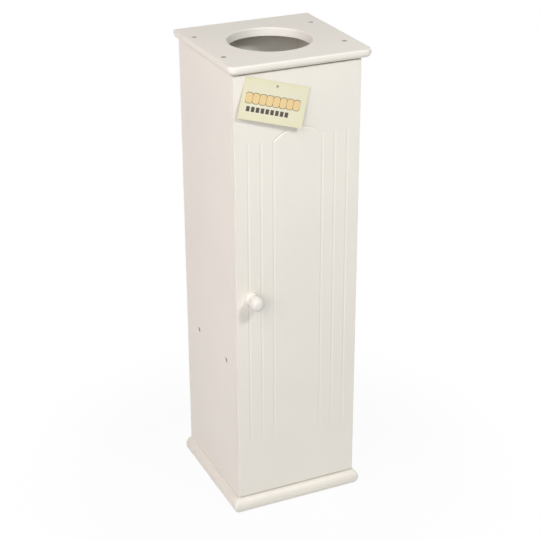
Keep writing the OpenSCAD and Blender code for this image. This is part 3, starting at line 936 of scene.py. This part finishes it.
class CABINET_OT_door(bpy.types.Operator):
    """Builds the door with its softened edges, straight grooves and arched groove"""

    bl_idname = "cabinet.door"
    bl_label = "Grooved door"

    # Radius and depth of the routed groove from its foot to its eased edge. The arch is cut deeper.
    groove = (
        (0.20, 0.29),
        (0.50, 0.27),
        (1.30, 0.12),
        (1.54, 0.072),
        (1.80, 0.03),
        (2.10, 0.005),
        (2.40, -0.20),
    )
    arch_depth = 2.3

    def execute(self, context):
        sizes, looks = chosen(context)
        low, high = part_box("door")
        bm = bmesh.new()
        add_box(bm, low, high)
        round_edges(bm, edges_on(bm, 1, low.y), sizes.door_softness, 6)
        round_edges(bm, edges_on(bm, 1, high.y), sizes.board_softness, 3)
        close_up(bm)
        piece = make_object("door_painted", bm)
        foot, head = low.z + sizes.groove_low, high.z - sizes.groove_high
        straight = bmesh.new()
        for side in (-1, 1):
            for count in range(3):
                x = side * (sizes.groove_first + count * sizes.groove_pitch)
                self.cut_straight(straight, x, low.y, foot, head)
        carve(piece, straight)
        arch = bmesh.new()
        self.cut_arch(arch, sizes, low.y, head)
        carve(piece, arch)
        housings = bmesh.new()
        for leaf in ("upper_door_leaf", "lower_door_leaf"):
            house_leaf(housings, leaf, high.x, high.y - LEAF_SUNK, high.y + CLEAR)
        carve(piece, housings)
        shade(piece)
        dress(piece, [paint_for(looks, "z")], "door", "painted_board", "door")
        return {"FINISHED"}

    def cut_straight(self, bm, x, face, foot, head):
        """The path of the cutter along one upright groove, with round ends."""
        profile = [(r * MM, -deep * MM) for r, deep in self.groove]
        verts = add_turned(bm, profile, SMALL_SIDES, FRONT, offset=0.5)
        upper = [v for v in verts if v.co.z > 0]
        bmesh.ops.translate(bm, vec=(0, 0, head - foot), verts=upper)
        bmesh.ops.translate(bm, vec=(x, face, foot), verts=verts)

    def cut_arch(self, bm, sizes, face, head):
        """The path of the cutter along the arch between the two inner grooves."""
        half, rise = sizes.groove_first, sizes.arch_rise
        radius = (half * half + rise * rise) / (2 * rise)
        past = math.radians(1.0)
        reach = math.asin(half / radius) + past
        across = [(r, deep * self.arch_depth) for r, deep in self.groove]
        outline = [(-r, deep) for r, deep in reversed(across)] + across
        centre = Vector((0, face, head + rise - radius))
        verts = [bm.verts.new((radius + r * MM, deep * MM, 0)) for r, deep in outline]
        edges = [bm.edges.new((verts[i], verts[(i + 1) % len(verts)])) for i in range(len(verts))]
        start = Matrix.Rotation(-(math.pi / 2 - reach), 4, "Y")
        bmesh.ops.transform(bm, matrix=Matrix.Translation(centre) @ start, verts=verts)
        bmesh.ops.spin(
            bm,
            geom=verts + edges,
            cent=centre,
            axis=(0, -1, 0),
            angle=2 * reach,
            steps=64,
            use_duplicate=False,
        )
        bmesh.ops.remove_doubles(bm, verts=bm.verts, dist=WELD)
        bmesh.ops.holes_fill(bm, edges=[e for e in bm.edges if e.is_boundary], sides=0)


# ---------------------------------------------------------------- fittings


class CABINET_OT_knob(bpy.types.Operator):
    """Turns the round knob"""

    bl_idname = "cabinet.knob"
    bl_label = "Knob"

    def execute(self, context):
        sizes, looks = chosen(context)
        low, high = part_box("knob")
        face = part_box("door")[0].y
        middle = Vector(((low.x + high.x) / 2, face, (low.z + high.z) / 2))
        profile = self.outline(sizes, (high.x - low.x) / 2, face - low.y)
        bm = bmesh.new()
        add_turned(bm, profile, KNOB_SIDES, Matrix.Translation(middle) @ FRONT)
        close_up(bm)
        piece = make_object("knob_turned", bm)
        smooth(piece, KNOB_SHARP_ANGLE)
        dress(piece, [gloss_enamel(looks)], "door", "gloss_knob", "knob")
        return {"FINISHED"}

    def outline(self, sizes, ball, tip):
        """The knob's radius and height from its foot on the door to its slightly flattened tip."""
        foot, neck, foot_thick = sizes.knob_foot_radius, sizes.knob_neck_radius, sizes.knob_foot_thickness
        foot_ease, ease_middle, foot_land, hub = 0.5 * MM, 0.15 * MM, 0.4 * MM, 0.4 * MM
        tip_flat, tip_radius = 0.8 * MM, 5.2 * MM
        hollow_steps, ball_steps = 12, 30
        reach = tip + tip_flat - ball
        hollow = (reach - ball + ball / 2 - foot_thick) / 2
        opening = math.acos((neck + hollow - foot + foot_land) / hollow)
        rim = foot_thick + hollow * (1 - math.sin(opening))
        profile = [(hub, 0.0), (foot - foot_ease, 0.0), (foot - ease_middle, ease_middle)]
        profile += [(foot, foot_ease), (foot, rim - 0.35 * MM), (foot - 0.12 * MM, rim - 0.08 * MM)]
        for step in range(hollow_steps + 1):
            turn = math.pi + opening * (1 - step / hollow_steps)
            across, up = hollow * math.cos(turn), hollow * math.sin(turn)
            profile.append((neck + hollow + across, foot_thick + hollow + up))
        start = math.asin(neck / ball)
        stop = math.pi - math.asin(tip_radius / ball)
        for step in range(ball_steps + 1):
            turn = start + (stop - start) * step / ball_steps
            profile.append((ball * math.sin(turn), reach - ball * math.cos(turn)))
        top = reach - ball * math.cos(stop)
        for share in (0.8, 0.55, 0.3, 0.05):
            profile.append((tip_radius * share, top + (tip - top) * (1 - share * share)))
        return profile


class CABINET_OT_metalwork(bpy.types.Operator):
    """Finishes the hinges, screws, catch and strike plate"""

    bl_idname = "cabinet.metalwork"
    bl_label = "Hinges, screws and catch"

    def execute(self, context):
        finishes = {
            "dark_screw": dark_steel(),
            "plated_steel": zinc_plate(),
            "catch_plastic": moulded_plastic(),
            "tag_foam": pad_foam(),
        }
        for part in frame["record"]["subparts"]:
            if part["material_slot"] in finishes:
                mesh = frame["nodes"][part["node"]].data
                mesh.materials.clear()
                mesh.materials.append(finishes[part["material_slot"]])
        self.top_screws(context.scene.cabinet_sizes, finishes["dark_screw"])
        return {"FINISHED"}

    def top_screws(self, sizes, steel):
        """The four screws of the top board, almost flush, with a cross recess in each head."""
        low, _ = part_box("top_screws")
        _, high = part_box("top_board")
        tip, top = low.z - high.z, -sizes.top_screw_sink
        shank, head = 1.7 * MM, 3.6 * MM
        point, taper = 0.2 * MM, 4 * MM
        profile = [
            (point, tip),
            (shank, tip + taper),
            (shank, top - head + shank),
            (head, top - EASE),
            (head - EASE, top),
        ]
        places = node_places("top_screws", 2, high.z, UP)
        bm = bmesh.new()
        for place in places:
            add_turned(bm, profile, SCREW_SIDES, place)
        close_up(bm)
        piece = make_object("top_screws_turned", bm)
        long, wide, deep = 2.2 * MM, 0.4 * MM, 1.2 * MM
        for x, y in ((long, wide), (wide, long)):
            slot = bmesh.new()
            for place in places:
                verts = add_box(slot, (-x, -y, top - deep), (x, y, top + EASE))
                bmesh.ops.transform(slot, matrix=place, verts=verts)
            carve(piece, slot)
        shade(piece)
        dress(piece, [steel], "cabinet", "dark_screw", "top_screws")


class CABINET_OT_hang_tag(bpy.types.Operator):
    """Builds the cream card, gently curled away from the door"""

    bl_idname = "cabinet.hang_tag"
    bl_label = "Card"

    def execute(self, context):
        sizes, looks = chosen(context)
        low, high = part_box("hang_tag")
        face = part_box("door")[0].y
        wide, tall = sizes.card_width, sizes.card_height
        middle = Vector(((low.x + high.x) / 2, face, (low.z + high.z) / 2))
        bm = bmesh.new()
        bm.loops.layers.uv.new("UVMap")
        bmesh.ops.create_grid(bm, x_segments=48, y_segments=28, size=0.5, calc_uvs=True)
        bmesh.ops.scale(bm, vec=(wide, tall, 1), verts=bm.verts)
        bmesh.ops.rotate(bm, cent=(0, 0, 0), matrix=Matrix.Rotation(math.pi / 2, 3, "X"), verts=bm.verts)
        for vert in bm.verts:
            vert.co.y = -self.stand(vert.co.x / wide + 0.5, 0.5 - vert.co.z / tall)
        place = Matrix.Translation(middle) @ Matrix.Rotation(sizes.card_turn, 4, "Y")
        bmesh.ops.transform(bm, matrix=place, verts=bm.verts)
        bmesh.ops.recalc_face_normals(bm, faces=bm.faces)
        piece = make_object("card_curled", bm)
        if piece.data.polygons[0].normal.y > 0:
            piece.data.flip_normals()
        solid = piece.modifiers.new("Thickness", "SOLIDIFY")
        solid.thickness = sizes.card_thickness
        solid.offset = -1.0
        solid.material_offset = 1
        solid.material_offset_rim = 1
        piece.data.materials.append(printed_card(sizes, looks))
        piece.data.materials.append(plain_card(looks))
        bake_modifiers(piece)
        cutter = bmesh.new()
        hole = Matrix.Translation(place @ Vector((0, 0, tall / 2 - sizes.card_hole_inset))) @ FRONT
        radius, behind, before = 1.0 * MM, -2 * MM, 8 * MM
        add_turned(cutter, [(radius, behind), (radius, before)], SMALL_SIDES, hole)
        carve(piece, cutter)
        smooth(piece)
        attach(piece, "door")
        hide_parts("hang_tag")
        return {"FINISHED"}

    def stand(self, right, down):
        """How far the card's front stands off the door: right and down run from 0 to 1."""
        off, lean, curl, belly = 1.1 * MM, 5.0 * MM, 1.9 * MM, 0.5 * MM
        bowed = belly * math.sin(math.pi * right) * down
        return off + lean * down**1.3 + curl * (right * down) ** 2 + bowed


# ---------------------------------------------------------------- stage


class CABINET_OT_stage(bpy.types.Operator):
    """Sets up the pale floor, the soft light and the camera"""

    bl_idname = "cabinet.stage"
    bl_label = "Stage"

    # Lamps: degrees from the front and above level, width in metres, power in watts, colour
    lamps = {
        "left softbox": (-61, 33, 2.0, 37.0, (1.0, 0.93, 0.935)),
        "front softbox": (-30, 18, 1.6, 6.8, (0.80, 0.94, 1.0)),
        "key light": (20, 43, 0.3, 16.4, (0.955, 1.0, 0.995)),
        "rear softbox": (122, 14, 1.6, 13.0, (1.0, 0.97, 0.96)),
    }
    # Distance of the lamps from the point that they face, and its height
    lamp_distance = 2.1
    lamp_aim = 0.4
    # Light from the surround, where white is 1
    surround_light = 0.065
    # The camera: lens in millimetres, degrees from the front, above level and of roll, and place
    lens = 95.27
    view_azimuth = -24.37
    view_height = 25.24
    view_roll = -0.25
    view_place = (-0.7527, -1.67, 1.1888)

    def execute(self, context):
        scene = context.scene
        scene.view_settings.view_transform = "Standard"
        self.floor()
        self.surround(scene)
        for name, settings in self.lamps.items():
            self.lamp(scene, name, *settings)
        self.camera(scene)
        return {"FINISHED"}

    def seen(self, finish):
        """1 for what the camera or a shiny surface sees, and 0 for light that falls on the pieces."""
        camera_ray = finish.node("ShaderNodeLightPath", output=0)
        glossy_ray = finish.node("ShaderNodeLightPath", output=3)
        return camera_ray.most(glossy_ray)

    def floor(self):
        """A wide pale floor that is seen as almost white and keeps a soft shadow near the cabinet."""
        bm = bmesh.new()
        bmesh.ops.create_grid(bm, x_segments=4, y_segments=4, size=14.0)
        floor = make_object("floor", bm)
        finish = Finish("pale_floor")
        seen = self.seen(finish)
        away = finish.node("ShaderNodeVectorMath", {"operation": "LENGTH"}, {0: finish.place()}, output=1)
        near_level, near_end, far_start = 0.95, 0.20, 0.45
        level = near_level + (1 - near_level) * away.ramp(near_end, far_start)
        white = finish.node("ShaderNodeEmission", {}, {"Color": (1, 1, 1, 1), "Strength": 1.0})
        shaded = finish.node("ShaderNodeBsdfDiffuse", {}, {"Color": (0.76, 0.76, 0.76, 1)})
        shader = finish.node("ShaderNodeMixShader", {}, {0: seen * level, 1: shaded, 2: white})
        finish.node("ShaderNodeOutputMaterial", {}, {"Surface": shader})
        floor.data.materials.append(finish.material)

    def surround(self, scene):
        """An even pale surround, white where the camera or a shiny surface sees it."""
        scene.world = bpy.data.worlds.new("pale_surround")
        finish = Finish("pale_surround", scene.world)
        levels = {"Value": self.seen(finish), "To Min": self.surround_light, "To Max": 1.0}
        strength = finish.node("ShaderNodeMapRange", {}, levels)
        light = finish.node("ShaderNodeBackground", {}, {"Color": (1, 1, 1, 1), "Strength": strength})
        finish.node("ShaderNodeOutputWorld", {}, {"Surface": light})

    def lamp(self, scene, name, azimuth, height, size, power, colour):
        """A square softbox that faces the cabinet's middle, at angles seen from there."""
        light = bpy.data.lights.new(name, "AREA")
        light.shape = "SQUARE"
        light.size = size
        light.energy = power
        light.color = colour
        made = bpy.data.objects.new(name, light)
        away = direction(azimuth, height)
        made.location = Vector((0, 0, self.lamp_aim)) + away * self.lamp_distance
        made.rotation_mode = "QUATERNION"
        made.rotation_quaternion = (-away).to_track_quat("-Z", "Y")
        scene.collection.objects.link(made)

    def camera(self, scene):
        """The camera at the photograph's viewing angle."""
        data = bpy.data.cameras.new("camera")
        data.sensor_width = 36.0
        data.lens = self.lens
        made = bpy.data.objects.new("camera", data)
        back = direction(self.view_azimuth, self.view_height)
        level = (-back).to_track_quat("-Z", "Y").to_matrix()
        turn = Matrix.Rotation(math.radians(self.view_roll), 3, back) @ level
        made.rotation_mode = "QUATERNION"
        made.rotation_quaternion = turn.to_quaternion()
        made.location = self.view_place
        scene.collection.objects.link(made)
        scene.camera = made


# ---------------------------------------------------------------- panel and registration

STEPS = (
    CABINET_OT_top_board,
    CABINET_OT_base_board,
    CABINET_OT_panels,
    CABINET_OT_door,
    CABINET_OT_knob,
    CABINET_OT_metalwork,
    CABINET_OT_hang_tag,
    CABINET_OT_stage,
)


class CABINET_PT_pieces(bpy.types.Panel):
    """Lists the cabinet's pieces and settings"""

    bl_idname = "CABINET_PT_pieces"
    bl_label = "Toilet roll cabinet"
    bl_space_type = "VIEW_3D"
    bl_region_type = "UI"
    bl_category = "Cabinet"

    def draw(self, context):
        for group in chosen(context):
            column = self.layout.column()
            for name in group.__annotations__:
                column.prop(group, name)
        for step in STEPS:
            self.layout.operator(step.bl_idname)


CLASSES = (CabinetSizes, CabinetLooks, *STEPS, CABINET_PT_pieces)


def register():
    for cls in CLASSES:
        bpy.utils.register_class(cls)
    bpy.types.Scene.cabinet_sizes = PointerProperty(type=CabinetSizes)
    bpy.types.Scene.cabinet_looks = PointerProperty(type=CabinetLooks)


def unregister():
    del bpy.types.Scene.cabinet_looks
    del bpy.types.Scene.cabinet_sizes
    for cls in reversed(CLASSES):
        bpy.utils.unregister_class(cls)


def main():
    """Builds every piece and the stage."""
    register()
    for step in STEPS:
        group, name = step.bl_idname.split(".")
        getattr(getattr(bpy.ops, group), name)()


if __name__ == "__main__":
    main()
